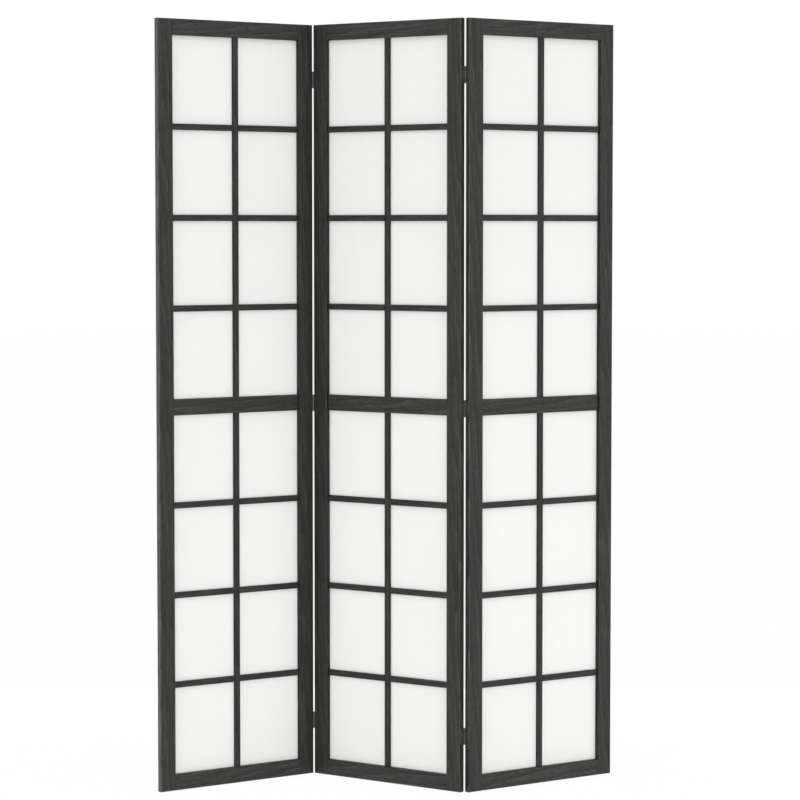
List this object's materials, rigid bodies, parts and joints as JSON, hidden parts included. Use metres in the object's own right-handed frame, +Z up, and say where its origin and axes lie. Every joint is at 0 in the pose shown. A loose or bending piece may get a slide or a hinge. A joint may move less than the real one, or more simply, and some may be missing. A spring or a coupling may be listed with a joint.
{
  "type": "shoji folding screen",
  "caption": "Freestanding zigzag folding screen: black-stained wooden frames with a square lattice over white paper, joined by small butt hinges so that it folds flat.",
  "frame": {"origin": "on the floor, under the centre of the middle panel, which is the centre of the whole screen in plan", "axes": "+X along the screen to the right as seen from its lattice side, -Y out of the lattice side towards the viewer, +Z up"},
  "size_m": [1.0144, 0.2382, 1.7],
  "materials": {
    "black_stained_wood": "black stain under a satin clear coat, fine open grain along each member",
    "shoji_paper": "white, translucent, matt, with faint fibres",
    "hinge_bronze": "dark antique bronze, satin"
  },
  "bodies": {
    "left_panel": {"left_panel_left_stile": "black_stained_wood", "left_panel_right_stile": "black_stained_wood", "left_panel_top_rail": "black_stained_wood", "left_panel_bottom_rail": "black_stained_wood", "left_panel_middle_rail": "black_stained_wood", "left_panel_lower_upright_bar": "black_stained_wood", "left_panel_upper_upright_bar": "black_stained_wood", "left_panel_cross_bar_1": "black_stained_wood", "left_panel_cross_bar_2": "black_stained_wood", "left_panel_cross_bar_3": "black_stained_wood", "left_panel_cross_bar_4": "black_stained_wood", "left_panel_cross_bar_5": "black_stained_wood", "left_panel_cross_bar_6": "black_stained_wood", "left_panel_paper": "shoji_paper", "lower_left_hinge_left_leaf": "hinge_bronze", "lower_left_hinge_pin": "hinge_bronze", "middle_left_hinge_left_leaf": "hinge_bronze", "middle_left_hinge_pin": "hinge_bronze", "upper_left_hinge_left_leaf": "hinge_bronze", "upper_left_hinge_pin": "hinge_bronze"},
    "middle_panel": {"middle_panel_left_stile": "black_stained_wood", "middle_panel_right_stile": "black_stained_wood", "middle_panel_top_rail": "black_stained_wood", "middle_panel_bottom_rail": "black_stained_wood", "middle_panel_middle_rail": "black_stained_wood", "middle_panel_lower_upright_bar": "black_stained_wood", "middle_panel_upper_upright_bar": "black_stained_wood", "middle_panel_cross_bar_1": "black_stained_wood", "middle_panel_cross_bar_2": "black_stained_wood", "middle_panel_cross_bar_3": "black_stained_wood", "middle_panel_cross_bar_4": "black_stained_wood", "middle_panel_cross_bar_5": "black_stained_wood", "middle_panel_cross_bar_6": "black_stained_wood", "middle_panel_paper": "shoji_paper", "lower_left_hinge_right_leaf": "hinge_bronze", "lower_right_hinge_left_leaf": "hinge_bronze", "middle_left_hinge_right_leaf": "hinge_bronze", "middle_right_hinge_left_leaf": "hinge_bronze", "upper_left_hinge_right_leaf": "hinge_bronze", "upper_right_hinge_left_leaf": "hinge_bronze"},
    "right_panel": {"right_panel_left_stile": "black_stained_wood", "right_panel_right_stile": "black_stained_wood", "right_panel_top_rail": "black_stained_wood", "right_panel_bottom_rail": "black_stained_wood", "right_panel_middle_rail": "black_stained_wood", "right_panel_lower_upright_bar": "black_stained_wood", "right_panel_upper_upright_bar": "black_stained_wood", "right_panel_cross_bar_1": "black_stained_wood", "right_panel_cross_bar_2": "black_stained_wood", "right_panel_cross_bar_3": "black_stained_wood", "right_panel_cross_bar_4": "black_stained_wood", "right_panel_cross_bar_5": "black_stained_wood", "right_panel_cross_bar_6": "black_stained_wood", "right_panel_paper": "shoji_paper", "lower_right_hinge_right_leaf": "hinge_bronze", "lower_right_hinge_pin": "hinge_bronze", "middle_right_hinge_right_leaf": "hinge_bronze", "middle_right_hinge_pin": "hinge_bronze", "upper_right_hinge_right_leaf": "hinge_bronze", "upper_right_hinge_pin": "hinge_bronze"}
  },
  "joints": [
    {"name": "left_fold", "type": "hinge", "parent": "middle_panel", "child": "left_panel", "pos_m": [-0.16959, 0.10655, 0], "axis": [0, 0, 1], "range_deg": [-69.2, 110.8]},
    {"name": "right_fold", "type": "hinge", "parent": "middle_panel", "child": "right_panel", "pos_m": [0.16959, -0.10655, 0], "axis": [0, 0, 1], "range_deg": [-69.2, 110.8]}
  ]
}
